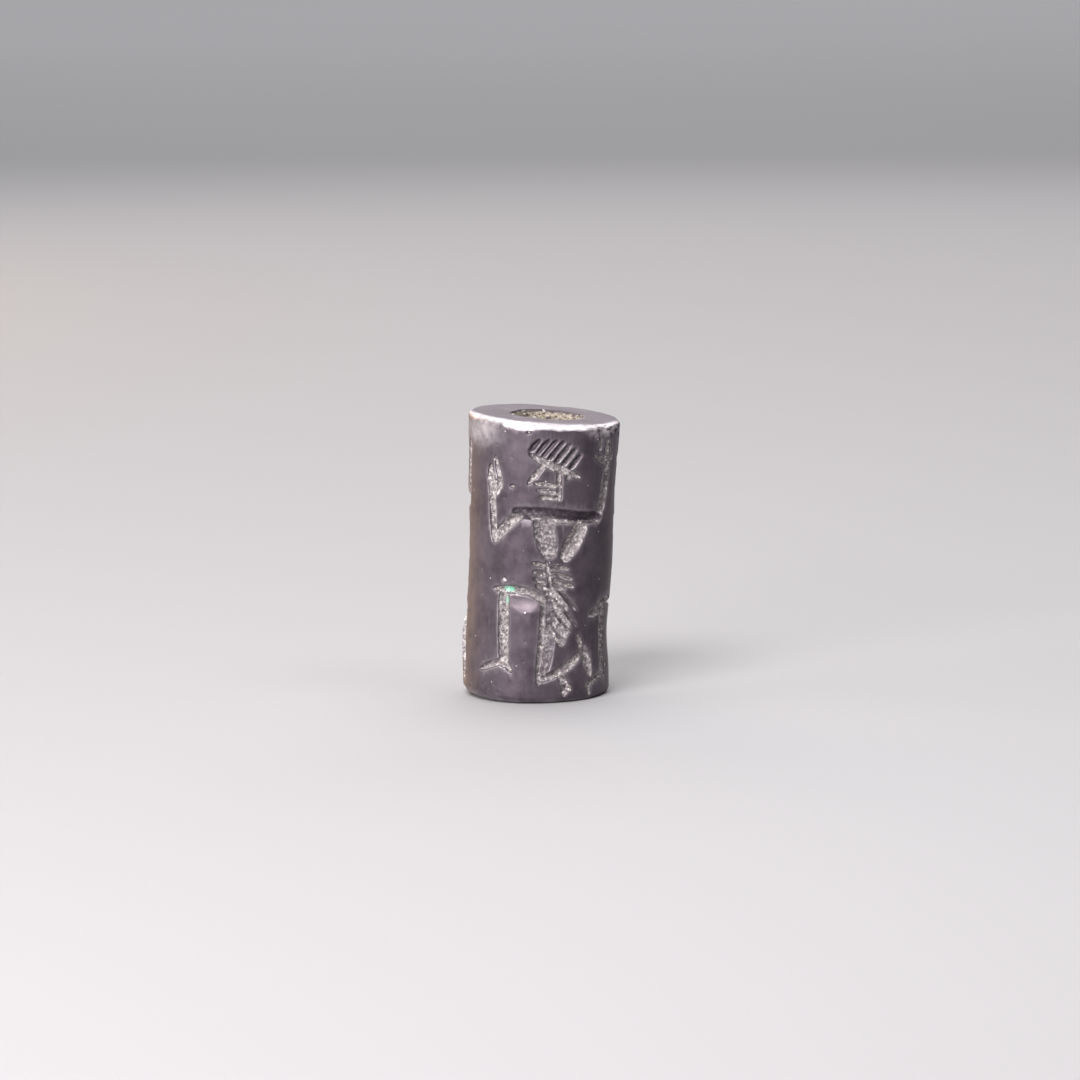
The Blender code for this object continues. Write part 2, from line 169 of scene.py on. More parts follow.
# Bore radius: it opens towards both mouths
from_middle = add_node(tree, "ShaderNodeMath", {0: upness, 1: 2.0, 2: -1.0},
                       operation="MULTIPLY_ADD")
flare = add_node(tree, "ShaderNodeMath", {0: from_middle, 1: 2.0}, operation="POWER")
flare = add_node(tree, "ShaderNodeMath", {0: flare, 1: 2.0}, operation="POWER")
bore = add_node(tree, "ShaderNodeMix", {
    "Factor": flare, "A": given["Bore radius"], "B": given["Mouth radius"]})
radius = add_node(tree, "ShaderNodeMix", {"Factor": outness, "A": bore, "B": outer})
front = add_node(tree, "ShaderNodeMath", {0: radius, 1: -1.0}, operation="MULTIPLY")
front = add_node(tree, "ShaderNodeCombineXYZ", {"Y": front})
level = add_node(tree, "ShaderNodeVectorRotate", {"Vector": front, "Angle": turn},
                 rotation_type="Z_AXIS")
shift = add_node(tree, "ShaderNodeMix", {
    "Factor": outness, "A": given["Bore shift"], "B": (0.0, 0.0, 0.0)}, data_type="VECTOR")
level = add_node(tree, "ShaderNodeVectorMath", {0: level, 1: shift}, operation="ADD")
flat = add_node(tree, "ShaderNodeSeparateXYZ", {0: level}).outputs
# Height: between the foot's plane and the top's, which both slope
low = add_node(tree, "ShaderNodeMath", {0: flat["X"], 1: given["Foot slope"]},
               operation="MULTIPLY")
high = add_node(tree, "ShaderNodeMath", {
    0: flat["X"], 1: given["Top slope right"], 2: given["Length"]}, operation="MULTIPLY_ADD")
high = add_node(tree, "ShaderNodeMath", {0: flat["Y"], 1: given["Top slope back"], 2: high},
                operation="MULTIPLY_ADD")
height = add_node(tree, "ShaderNodeMix", {"Factor": upness, "A": low, "B": high})
place = add_node(tree, "ShaderNodeCombineXYZ",
                 {"X": flat["X"], "Y": flat["Y"], "Z": height})
body = add_node(tree, "GeometryNodeSetPosition", {"Geometry": ring, "Position": place})
body = add_node(tree, "GeometryNodeRealizeInstances", {"Geometry": body})
body = add_node(tree, "GeometryNodeSetMaterial",
                {"Geometry": body, "Material": given["Material"]})
add_node(tree, "NodeGroupOutput", {"Result": body})

seal_mesh = grown_mesh("drilled_bar", tree, {
    "Length": LENGTH, "Foot radius": FOOT_RADIUS, "Top radius": TOP_RADIUS, "Waist": WAIST,
    "Bore radius": BORE_RADIUS, "Mouth radius": MOUTH_RADIUS, "Bore shift": BORE_SHIFT,
    "Foot slope": math.tan(AXIS_LEAN), "Top slope right": -math.tan(TOP_FALL_RIGHT),
    "Top slope back": -math.tan(TOP_FALL_BACK), "Points around": POINTS_AROUND,
    "Wall rows": WALL_ROWS, "End rows": END_ROWS, "Bore rows": BORE_ROWS,
    "Material": haematite}, bpy.data.meshes.new("nothing"))

count = len(seal_mesh.vertices)
spot = np.empty(count * 3)
seal_mesh.vertices.foreach_get("co", spot)
spot = spot.reshape(-1, 3)
shares = np.empty(count * 3)
seal_mesh.attributes["share"].data.foreach_get("vector", shares)
outward = shares[0::3]
upward = shares[1::3]
angle = np.empty(count)
seal_mesh.attributes["turn"].data.foreach_get("value", angle)
angle = np.remainder(angle + math.pi, math.tau) - math.pi
radial = np.stack([np.sin(angle), -np.cos(angle), np.zeros(count)], axis=1)


# The worn outside: handling has rounded the edges, most on the left of the foot and at the
# front of the top. The ground wall swells and dips a little, and the rim is chipped.

FOOT_ROUND = 0.55
FOOT_ROUND_LEFT = 1.4
TOP_ROUND = 0.42
FRONT_WORN_IN = 1.15
FRONT_WORN_DOWN = 0.8
MOUTH_ROUND = 0.3
# Angle, spread in angle, height, spread in height, and how far the wall swells
SWELLS = [
    (math.radians(-90), math.radians(30), 5.3, 2.4, 0.28),
    (math.radians(88), math.radians(30), 6.4, 3.4, -0.32),
    (math.radians(95), math.radians(30), 20.5, 3.0, -0.12),
]


def stone_noise(points, size, seed):
    """Smooth random values from -1 to 1, in lumps of about that size in millimetres."""
    table = np.random.default_rng(seed).uniform(-1.0, 1.0, (32, 32, 32))
    scaled = points / size
    cell = np.floor(scaled).astype(int)
    part_way = scaled - cell
    part_way = part_way * part_way * (3 - 2 * part_way)
    total = np.zeros(len(points))
    for step_x, step_y, step_z in itertools.product((0, 1), repeat=3):
        near = np.array([step_x, step_y, step_z])
        weight = np.where(near, part_way, 1 - part_way).prod(axis=1)
        index = (cell + near) % 32
        total += weight * table[index[:, 0], index[:, 1], index[:, 2]]
    return total


def worn_edge(inside, below, width_in, width_down, flatness=0.0):
    """How far a sharp edge moves in and down when it is worn round, or partly flat."""
    share = (np.clip(inside / width_in - below / width_down, -1, 1) + 1) / 2
    round_in = 1 - np.cos(share * math.pi / 2)
    round_down = 1 - np.sin(share * math.pi / 2)
    worn = (share > 0) & (share < 1) & (np.minimum(inside, below) < 0.001)
    new_in = width_in * (round_in + (share - round_in) * flatness)
    new_down = width_down * (round_down + (1 - share - round_down) * flatness)
    return np.where(worn, new_in - inside, 0.0), np.where(worn, new_down - below, 0.0)


for middle, spread, height, rise, swell in SWELLS:
    turned = (np.remainder(angle - middle + math.pi, math.tau) - math.pi) / spread
    lift = swell * np.exp(-turned ** 2 - ((spot[:, 2] - height) / rise) ** 2)
    spot += radial * (lift * outward)[:, None]

uneven = 1 + 0.22 * stone_noise(spot, 2.4, 1) + 0.12 * stone_noise(spot, 0.7, 2)
frontness = np.maximum(0, np.cos(angle))
top_in = (TOP_ROUND + (FRONT_WORN_IN - TOP_ROUND) * frontness) * uneven
top_down = (TOP_ROUND + (FRONT_WORN_DOWN - TOP_ROUND) * frontness) * uneven
foot_worn = FOOT_ROUND + (FOOT_ROUND_LEFT - FOOT_ROUND) * np.maximum(0, -np.sin(angle)) ** 2
foot_worn *= uneven
mouth_worn = MOUTH_ROUND * uneven
from_wall = (1 - outward) * (TOP_RADIUS - MOUTH_RADIUS)
from_bore = outward * (TOP_RADIUS - MOUTH_RADIUS)
from_top = (1 - upward) * LENGTH
from_foot = upward * LENGTH
edge_in, edge_down = worn_edge(from_wall, from_top, top_in, top_down, 0.5)
foot_in, foot_up = worn_edge(from_wall, from_foot, foot_worn, foot_worn, 0.2)
mouth_out, mouth_down = worn_edge(from_bore, from_top, mouth_worn, mouth_worn)
low_mouth_out, low_mouth_up = worn_edge(from_bore, from_foot, mouth_worn, mouth_worn)
spot -= radial * (edge_in + foot_in - mouth_out - low_mouth_out)[:, None]
spot[:, 2] += foot_up + low_mouth_up - edge_down - mouth_down

# Low waves that grinding and wear leave in the wall
waves = 0.035 * stone_noise(spot, 3.2, 3) + 0.012 * stone_noise(spot, 0.9, 4)
on_wall = outward > 0.999
spot += radial * (waves * on_wall)[:, None]
# The top is uneven too, and lies a little lower than its worn edge
on_top = (upward > 0.999) & ~on_wall
spot[:, 2] += np.where(on_top, 0.05 * stone_noise(spot, 1.3, 5) - 0.04, 0.0)
# The drill left the bore ragged, most of all near its mouths
in_bore = outward < 0.001
ragged = 0.07 * stone_noise(spot, 0.9, 6) + 0.04 * stone_noise(spot, 0.3, 7)
near_mouth = np.exp(-from_top / 2.5) + np.exp(-from_foot / 2.5)
spot += radial * (ragged * (0.4 + near_mouth) * in_bore)[:, None]


# The engraving: each stroke is one pass of a small cutting wheel, with a round floor and
# run-out ends, or of a graving point, with a narrow floor. Small pits were drilled.

ARC_RADIUS = 7.2
ROUND_TRIP = math.tau * ARC_RADIUS
POINTED = 0.15
BLUNT = 0.8
RUN_OUT = 0.3
POINTS_A_SPAN = 28
POINTS_AT_ONCE = 20000
FULL_CRUST_DEPTH = 0.12
# How square a groove's section is: a high number gives steep sides and a level floor
WHEEL = 2.2
FINE = 1.4

wall_rows = np.flatnonzero(on_wall)
wall_s = angle[wall_rows] * ARC_RADIUS
wall_z = spot[wall_rows, 2]
sunk = np.zeros(len(wall_rows))
crusted = np.zeros(len(wall_rows))


def smooth_path(knots):
    """Close-set points on a smooth curve through the knots."""
    knots = np.array(knots, dtype=float)
    before = 2 * knots[0] - knots[1]
    after = 2 * knots[-1] - knots[-2]
    knots = np.vstack([before, knots, after])
    u = np.linspace(0, 1, POINTS_A_SPAN, endpoint=False)[:, None]
    spans = []
    for a, b, c, d in zip(knots, knots[1:], knots[2:], knots[3:]):
        spans.append(0.5 * (2 * b + (c - a) * u + (2 * a - 5 * b + 4 * c - d) * u ** 2
                            + (3 * b - a - 3 * c + d) * u ** 3))
    return np.vstack(spans + [knots[-2]])


def sink(near, depth, crust):
    """The deepest cut wins at each point of the wall, with the crust that it holds."""
    deeper = depth > sunk[near]
    sunk[near] = np.where(deeper, depth, sunk[near])
    held = np.clip(depth / FULL_CRUST_DEPTH, 0, 1) * crust
    crusted[near] = np.where(deeper, held, crusted[near])


def cut(knots, width, depth, start=POINTED, end=POINTED, section=WHEEL, at=(0, 0), crust=1.0):
    """Sinks one groove along a smooth path, pointed, blunt or between at each end.

    Knots, width and depth are in millimetres. Crust is the share of grit that it has kept.
    """
    path = smooth_path(knots) + np.array(at)
    middle = (path.min(axis=0) + path.max(axis=0)) / 2
    reach = (path.max(axis=0) - path.min(axis=0)) / 2 + width * 0.75
    s = np.remainder(wall_s - middle[0] + ROUND_TRIP / 2, ROUND_TRIP) - ROUND_TRIP / 2
    near = np.flatnonzero((np.abs(s) < reach[0]) & (np.abs(wall_z - middle[1]) < reach[1]))
    spots = np.stack([s[near] + middle[0], wall_z[near]], axis=1)
    nearest = np.empty(len(near), dtype=int)
    for first in range(0, len(near), POINTS_AT_ONCE):
        some = spots[first:first + POINTS_AT_ONCE]
        away = ((some[:, None, :] - path[None, :, :]) ** 2).sum(axis=2)
        nearest[first:first + POINTS_AT_ONCE] = away.argmin(axis=1)
    ahead = np.gradient(path, axis=0)
    ahead /= np.linalg.norm(ahead, axis=1)[:, None]
    offset = spots - path[nearest]
    along = (offset * ahead[nearest]).sum(axis=1)
    across = offset[:, 0] * ahead[nearest, 1] - offset[:, 1] * ahead[nearest, 0]
    past = ((nearest == 0) & (along < 0)) | ((nearest == len(path) - 1) & (along > 0))
    away = np.where(past, np.hypot(along, across), np.abs(across))
    share = nearest / (len(path) - 1)
    rise = start + (1 - start) * np.sqrt(np.minimum(share / RUN_OUT, 1))
    fall = end + (1 - end) * np.sqrt(np.minimum((1 - share) / RUN_OUT, 1))
    size = np.minimum(rise, fall)
    travel = np.concatenate([[0], np.cumsum(np.linalg.norm(np.diff(path, axis=0), axis=1))])
    travelled = travel[nearest] + along
    lines = np.stack([across * 6, travelled * 0.8, np.full(len(near), middle.sum())], axis=1)
    wobble = 1 + 0.08 * stone_noise(np.stack([travelled, travelled * 0 + middle[0],
                                              np.sign(across)], axis=1), 0.45, 11)
    level = 1 - np.clip(away / (width / 2 * size * wobble), 0, 1) ** section
    scored = 1 + 0.14 * stone_noise(lines, 0.6, 12)
    sink(near, depth * size * level * scored, crust)


def pit(place, radius, depth, stretch=1.0, crust=1.0, section=2.2):
    """A drilled pit, round or stretched up and down."""
    s = np.remainder(wall_s - place[0] + ROUND_TRIP / 2, ROUND_TRIP) - ROUND_TRIP / 2
    z = (wall_z - place[1]) / stretch
    near = np.flatnonzero((np.abs(s) < radius * 1.3) & (np.abs(z) < radius * 1.3))
    points = np.stack([s[near], z[near], np.full(len(near), place[0] + place[1])], axis=1)
    away = np.hypot(s[near], z[near]) * (1 + 0.18 * stone_noise(points, 0.4, 13))
    level = 1 - np.clip(away / radius, 0, 1) ** section
    sink(near, depth * level, crust)


def cut_head(at, hatches=7, detail=True):
    """Hatched cap, brow, nose, jaw and neck, seen in profile and facing left."""
    cap_left = -0.45
    cap_right = 3.75
    cap_top = 25.65
    cap_middle = 1.0
    cap_fall = 0.18
    brow_left = (-1.3, 24.25)
    brow_right = (3.7, 22.05)
    brow_slope = (brow_right[1] - brow_left[1]) / (brow_right[0] - brow_left[0])
    lean = (-0.64, -0.77)
    cut([(-0.5, 24.75), (1.3, 24.6), (3.2, 23.9)], 1.9, 0.12, BLUNT, BLUNT, 2.0, at, 0.4)
    for i in range(hatches):
        share = (i / (hatches - 1)) ** 0.85
        s = cap_left + (cap_right - cap_left) * share
        z = cap_top - cap_fall * max(0.0, s - cap_middle) ** 2
        gap = z - brow_left[1] - brow_slope * (s - brow_left[0])
        length = gap / (brow_slope * lean[0] - lean[1]) - 0.3
        groove = [(s, z), (s + lean[0] * length, z + lean[1] * length)]
        cut(groove, 0.66 - 0.1 * share, 0.5, 0.5, 0.5, WHEEL, at, 0.1 + 0.3 * share)
    brow = [brow_left, (0.18, 23.45), (1.6, 22.9), brow_right]
    cut(brow, 0.8, 0.36, 0.45, 0.4, WHEEL, at)
    cut([(0.05, 23.3), (-1.42, 21.35)], 0.56, 0.32, BLUNT, 0.3, WHEEL, at)
    cut([(1.56, 22.8), (1.6, 21.4), (1.66, 19.95)], 0.56, 0.34, BLUNT, BLUNT, WHEEL, at)
    cut([(-0.8, 21.5), (1.55, 21.2)], 0.56, 0.26, 0.5, 0.5, WHEEL, at)
    cut([(-0.25, 20.14), (1.65, 19.98)], 0.46, 0.28, 0.5, 0.5, WHEEL, at)
    if detail:
        cut([(-0.5, 20.78), (1.55, 20.52)], 0.54, 0.24, 0.5, 0.5, WHEEL, at)
        pit((at[0] + 2.5, at[1] + 21.98), 0.3, 0.24)


def cut_rows(rows, width, depth, at):
    """Rows of alike short grooves, each given by its two ends."""
    for first, last in rows:
        cut([first, last], width, depth, 0.4, 0.4, FINE, at)


def cut_arms():
    """Shoulders and both raised arms of the front figure, with their hands."""
    cut([(-5.0, 15.7), (-5.2, 18.0), (-5.32, 20.2)], 0.88, 0.46, 0.5, BLUNT)
    cut([(-5.25, 19.8), (-5.45, 21.2), (-5.6, 22.7)], 1.0, 0.36, BLUNT, 0.5)
    cut([(-4.75, 20.1), (-4.3, 21.1), (-4.6, 22.3), (-4.99, 23.75)], 0.58, 0.38, 0.6, 0.3)
    cut([(-4.95, 20.3), (-4.8, 21.3)], 0.95, 0.34, BLUNT, 0.5)
    cut([(-4.95, 15.6), (-3.5, 17.2), (-1.9, 18.6)], 1.15, 0.58, 0.5, BLUNT)
    pit((-3.0, 21.04), 0.32, 0.14, 0.6)
    # The shoulder band keeps little crust, so it stays dark: painted shade on its upper wall.
    # The narrow, deeper stroke along its lower side keeps all its crust, whose paleness is a
    # painted highlight on the lower wall
    shoulders = [(-2.5, 18.5), (0.0, 18.5), (2.4, 18.3), (4.6, 18.05), (6.5, 18.1)]
    cut(shoulders, 1.36, 0.78, BLUNT, BLUNT, crust=0.3)
    cut([(-1.0, 18.0), (2.4, 17.8), (6.4, 17.6)], 0.42, 0.62, 0.5, BLUNT)
    cut([(6.45, 18.1), (7.0, 19.9), (7.28, 21.6), (7.38, 23.3)], 1.35, 0.52, BLUNT, 0.6)
    for s, top, bottom in [(6.08, 25.95, 24.6), (7.2, 25.65, 24.0), (7.8, 25.3, 24.1)]:
        cut([(s, top), (s + 0.04, bottom)], 0.6, 0.4, 0.3, BLUNT, FINE)
    cut([(5.6, 24.0), (6.65, 23.5), (8.4, 23.65)], 0.72, 0.34, BLUNT, BLUNT)


def cut_torso(at, ribs):
    """Two lobes of the chest, left standing apart, and the ribs below them."""
    cut([(0.05, 18.2), (0.4, 16.6), (0.8, 14.8)], 2.2, 0.6, 0.7, 0.75, 2.2, at, 0.6)
    cut([(4.6, 17.6), (3.5, 16.1), (2.6, 14.5)], 1.9, 0.56, 0.35, BLUNT, 2.2, at)
    left_rows = [((-0.72, 13.66), (0.5, 13.5)), ((-0.66, 12.85), (0.62, 12.65)),
                 ((-0.55, 12.2), (0.55, 11.85)), ((-0.3, 11.55), (0.7, 11.2))]
    right_rows = [((1.1, 13.3), (3.0, 13.15)), ((1.15, 12.75), (3.4, 12.1)),
                  ((1.3, 12.1), (3.6, 11.35)), ((1.2, 11.6), (2.6, 11.1))]
    cut_rows(left_rows[:ribs], 0.54, 0.42, at)
    cut_rows(right_rows[:ribs], 0.56, 0.44, at)
    cut([(0.6, 13.9), (0.95, 12.4), (1.3, 10.9)], 0.5, 0.3, 0.4, 0.4, FINE, at)


def cut_kilt(at, folds):
    """The kilt's shallow ground and the slanting folds that are cut deeper into it."""
    cut([(1.1, 10.8), (1.95, 8.6), (2.3, 6.1)], 2.6, 0.24, 0.6, 0.5, 2.4, at)
    rows = [((2.0, 10.95), (4.0, 8.95)), ((1.45, 10.35), (3.95, 7.5)),
            ((0.95, 9.6), (3.3, 6.9)), ((0.8, 8.45), (2.6, 5.9))]
    for first, last in rows[:folds]:
        cut([first, last], 0.5, 0.46, 0.4, 0.4, FINE, at, 0.6)


def cut_kneeling_legs(at):
    """The front leg is bent at the knee with its foot flat, and the back leg kneels."""
    thigh = [(-4.75, 10.92), (-2.45, 10.98), (-0.9, 10.75), (0.3, 10.2)]
    cut(thigh, 0.78, 0.52, 0.35, BLUNT, WHEEL, at)
    cut([(-3.62, 10.6), (-3.58, 7.9), (-3.4, 3.8)], 1.25, 0.52, BLUNT, BLUNT, WHEEL, at)
    cut([(-3.3, 4.05), (-4.8, 3.5), (-6.3, 2.85)], 0.72, 0.34, 0.5, 0.3, WHEEL, at)
    cut([(-3.5, 4.1), (-2.6, 3.0)], 0.66, 0.34, 0.6, 0.4, WHEEL, at)
    cut([(0.9, 10.2), (0.92, 6.5), (0.6, 2.3)], 1.5, 0.4, BLUNT, 0.35, 2.6, at, 0.5)
    cut([(0.55, 10.1), (0.45, 6.5), (0.15, 2.1)], 0.8, 0.46, BLUNT, 0.5, WHEEL, at)
    cut([(0.3, 2.3), (1.85, 2.95), (3.45, 3.9), (4.9, 5.15)], 0.95, 0.42, 0.5, 0.5, WHEEL, at)
    cut([(4.15, 6.65), (4.75, 5.1)], 0.62, 0.32, 0.3, BLUNT, WHEEL, at)
    cut([(4.95, 5.3), (5.4, 4.2), (6.0, 2.5)], 1.2, 0.4, BLUNT, 0.25, WHEEL, at)


def cut_front_figure():
    """The kneeling figure that the front of the seal shows whole."""
    here = (0, 0)
    cut_head(here)
    cut_arms()
    cut_torso(here, 4)
    cut_kilt(here, 4)
    cut_kneeling_legs(here)
    pit((-1.35, 9.72), 1.5, 0.14, 0.58, 0.0, 1.8)
    pit((-3.64, 11.86), 0.3, 0.18)
    cut([(2.3, 2.9), (2.85, 1.9), (2.85, 0.9)], 1.0, 0.3, 0.6, 0.6)
    cut([(2.9, 1.9), (3.5, 1.35)], 0.7, 0.26, BLUNT, 0.5)
    cut([(5.6, 1.95), (5.8, 1.3), (5.95, 0.65)], 0.5, 0.24, 0.3, 0.6)
    cut([(3.6, 4.3), (3.45, 3.3)], 0.5, 0.2, 0.6, 0.3)
    cut([(3.85, 7.15), (4.7, 7.45), (5.97, 7.68)], 0.13, 0.05, 0.4, 0.4, FINE)


def cut_second_figure():
    """A plainer kneeling figure to the right, whose bent knee just shows from the front."""
    here = (11.5, -1.35)
    cut_head((here[0] + 0.9, here[1]), 5, False)
    cut([(-0.6, 17.2), (-0.9, 21.2)], 0.9, 0.45, 0.5, BLUNT, WHEEL, here)
    cut([(-0.9, 21.0), (-1.15, 26.4)], 0.8, 0.36, at=here)
    shoulders = [(-0.8, 17.6), (1.0, 18.6), (2.6, 18.3), (6.7, 17.65)]
    cut(shoulders, 1.2, 0.55, BLUNT, BLUNT, WHEEL, here)
    cut([(6.6, 17.5), (7.2, 22.9)], 1.1, 0.45, 0.5, BLUNT, WHEEL, here)
    cut([(7.2, 22.6), (7.4, 25.6)], 1.5, 0.36, 0.5, POINTED, WHEEL, here)
    cut_torso(here, 3)
    cut_kilt(here, 3)
    cut_kneeling_legs(here)
    cut([(5.4, 8.4), (6.5, 8.75), (7.7, 8.85)], 1.05, 0.4, POINTED, BLUNT)
    pit((9.1, 3.3), 0.34, 0.22)


def cut_robed_figure(s, facing, hand_s):
    """A plain standing figure in a long robe with upright folds, with one hand raised."""
    shoulder_z = 19.6
    belt_z = 12.6
    hem_z = 2.6
    pit((s, 24.4), 1.1, 0.42, 0.75, 0.7)
    cut([(s - 1.25 * facing, 23.75), (s + 1.25 * facing, 23.9)], 0.55, 0.34)
    cut([(s + 0.2 * facing, 23.6), (s + 0.1 * facing, 22.2)], 1.3, 0.36, BLUNT, 0.5, crust=0.7)
    cut([(s + 0.8 * facing, 23.4), (s + 1.2 * facing, 22.7)], 0.42, 0.3)
    for step in range(3):
        beard_s = s + (0.05 + 0.35 * step) * facing
        cut([(beard_s, 22.5), (beard_s + 0.15 * facing, 21.1)], 0.42, 0.42, 0.5, 0.3, FINE)
    shoulders = [(s - 2.1 * facing, shoulder_z - 0.9), (s, shoulder_z),
                 (hand_s - 0.4 * facing, shoulder_z - 0.9)]
    cut(shoulders, 1.15, 0.55, BLUNT, BLUNT)
    cut([(hand_s, shoulder_z - 1.3), (hand_s, 22.0)], 0.9, 0.45, 0.5, BLUNT)
    cut([(hand_s, 21.8), (hand_s + 0.1 * facing, 24.9)], 1.2, 0.4, 0.5)
    robe = [(s, shoulder_z - 0.4), (s, 13.0), (s - 0.3 * facing, 7.0)]
    cut(robe, 4.2, 0.42, 0.6, BLUNT, 2.6, crust=0.4)
    cut([(s, 8.0), (s, hem_z)], 1.3, 0.4, BLUNT, BLUNT, crust=0.4)
    for side in (-1, 1):
        cut([(s + 1.75 * side, 8.6), (s + 1.9 * side, hem_z)], 1.5, 0.42, 0.5, BLUNT)
        foot_s = s + 1.1 * side + 0.3 * facing
        foot = [(foot_s - 0.5 * facing, 1.75), (foot_s + 0.9 * facing, 1.45)]
        cut(foot, 0.7, 0.3, 0.5, 0.3)
    for fold in (-2, -1, 0, 1, 2):
        fold_path = [(s + 0.55 * fold, belt_z - 0.7), (s + 0.9 * fold, hem_z + 0.3)]
        cut(fold_path, 0.5, 0.66, 0.3, 0.5, FINE, crust=0.9)
    for row in range(4):
        row_z = belt_z + 1.1 + 1.15 * row
        cut([(s - 1.35, row_z), (s + 1.35, row_z + 0.7)], 0.5, 0.6, 0.3, 0.3, FINE, crust=0.8)
    cut([(s - 1.75, belt_z), (s + 1.75, belt_z)], 0.5, 0.64, 0.5, 0.5, FINE)


def cut_standard(s):
    """A standard on the back, with a crescent and a star over it."""
    cut([(s, 15.6), (s, 3.6)], 0.75, 0.4, BLUNT, BLUNT)
    for side in (-1, 1):
        cut([(s, 4.4), (s + 1.5 * side, 2.0)], 0.6, 0.3, BLUNT)
    cut([(s - 2.0, 18.4), (s - 1.3, 16.8), (s, 16.1), (s + 1.3, 16.8), (s + 2.0, 18.4)],
        0.9, 0.42)
    star_z = 22.2
    star_reach = 1.7
    star_lines = 4
    for i in range(star_lines):
        turned = math.pi * (i + 0.5) / star_lines
        ray_s = star_reach * math.cos(turned)
        ray_z = star_reach * math.sin(turned)
        cut([(s - ray_s, star_z - ray_z), (s + ray_s, star_z + ray_z)], 0.5, 0.28,
            section=FINE)


def cut_wear():
    """Chips on the right of the top rim, scuffs at the left of the foot, pores and nicks."""
    rim_chips = 26
    foot_scuffs = 30
    pores = 240
    pit((6.3, 26.3), 0.8, 0.2, 0.5, 0.3)
    pit((8.2, 26.15), 0.9, 0.24, 0.5, 0.3)
    pit((-1.5, 26.35), 0.24, 0.12, 0.8)
    chance = np.random.default_rng(21)
    for _ in range(rim_chips):
        s = chance.uniform(5.2, 11.0)
        pit((s, chance.uniform(25.7, 27.0)), chance.uniform(0.1, 0.32), 0.14, 0.8,
            chance.uniform(0.0, 0.5))
    for _ in range(foot_scuffs):
        s = chance.uniform(-9.5, -3.5)
        pit((s, chance.uniform(0.1, 1.6)), chance.uniform(0.08, 0.2), 0.06, 0.8,
            chance.uniform(0.0, 0.8))
    for _ in range(pores):
        s = chance.uniform(-ROUND_TRIP / 2, ROUND_TRIP / 2)
        radius = chance.uniform(0.06, 0.13)
        pit((s, chance.uniform(0.4, 26.4)), radius, radius * 0.5, 1.0,
            chance.choice([0.0] * 12 + [0.8]))
    for s in (0.05, 0.4, 0.75, 1.15, 1.5):
        cut([(s, 26.6), (s + 0.05, 25.7)], 0.16, 0.035, 0.4, 0.4, FINE, crust=0.5)
    for place in [(-6.55, 12.63), (4.66, 21.16), (-3.79, 19.86), (-4.8, 24.9)]:
        pit(place, 0.14, 0.08)


cut_front_figure()
cut_second_figure()
cut_robed_figure(-11.8, 1, -9.8)
cut_standard(-19.9)
cut_wear()

# The wall's points in order, column by column and from the foot up
column = np.round(angle[wall_rows] / math.tau * POINTS_AROUND).astype(int)
grid_order = np.lexsort((upward[wall_rows], column))


def mean_around(values, reach):
    """The mean of the values that lie within so many points of each point of the wall."""
    grid = values[grid_order].reshape(POINTS_AROUND, -1)
    total = sum(np.roll(grid, step, axis=0) for step in range(-reach, reach + 1))
    padded = np.pad(total, ((0, 0), (reach, reach)), mode="edge")
    total = sum(padded[:, step:step + grid.shape[1]] for step in range(2 * reach + 1))
    mean = np.empty(len(values))
    mean[grid_order] = total.ravel() / (2 * reach + 1) ** 2
    return mean


# Wear has softened the lips of the grooves, and the grit that they have kept is rough
COARSE_GRIT = 0.09
FINE_GRIT = 0.05
sunk = mean_around(sunk, 1)
raised = mean_around(sunk, 3) - sunk
wall_spots = spot[wall_rows]
grit = COARSE_GRIT * stone_noise(wall_spots, 0.36, 31)
grit = grit + FINE_GRIT * stone_noise(wall_spots, 0.18, 32)
deep = np.clip(sunk / 0.15, 0, 1)
crusted *= np.clip(0.9 + 0.3 * stone_noise(wall_spots, 2.2, 33), 0.5, 1)
sunk += grit * crusted * deep
spot[wall_rows] -= radial[wall_rows] * sunk[:, None]


def on_mesh(values):
    """Values for the wall spread over the whole seal, with nothing elsewhere."""
    whole = np.zeros(count)
    whole[wall_rows] = values
    return whole


def dab(place, reach_s, reach_z):
    """A soft spot on the wall, strongest in its middle."""
    s = np.remainder(wall_s - place[0] + ROUND_TRIP / 2, ROUND_TRIP) - ROUND_TRIP / 2
    return np.exp(-(s / reach_s) ** 2 - ((wall_z - place[1]) / reach_z) ** 2)


# What covers or colours the stone at each point, as layers that the material reads. The brown
# layer is partly painted warm reflection, and the layer of worn places is partly painted
# highlight
crust = on_mesh(crusted)
verdigris = on_mesh((dab((-3.2, 11.02), 0.62, 0.3) + dab((-3.3, 9.95), 0.3, 0.45)) * deep)
pale_scoop = on_mesh(dab((-1.3, 9.8), 1.35, 0.62))
# The brown layer: a tall band down the left side, which is painted warm reflection, and a
# weaker patch at the right back, which is patina
warm_sheen_and_patina = on_mesh(dab((-10.3, 8.0), 2.6, 30.0) + 0.5 * dab((13.5, 10.0), 4.0, 12.0))
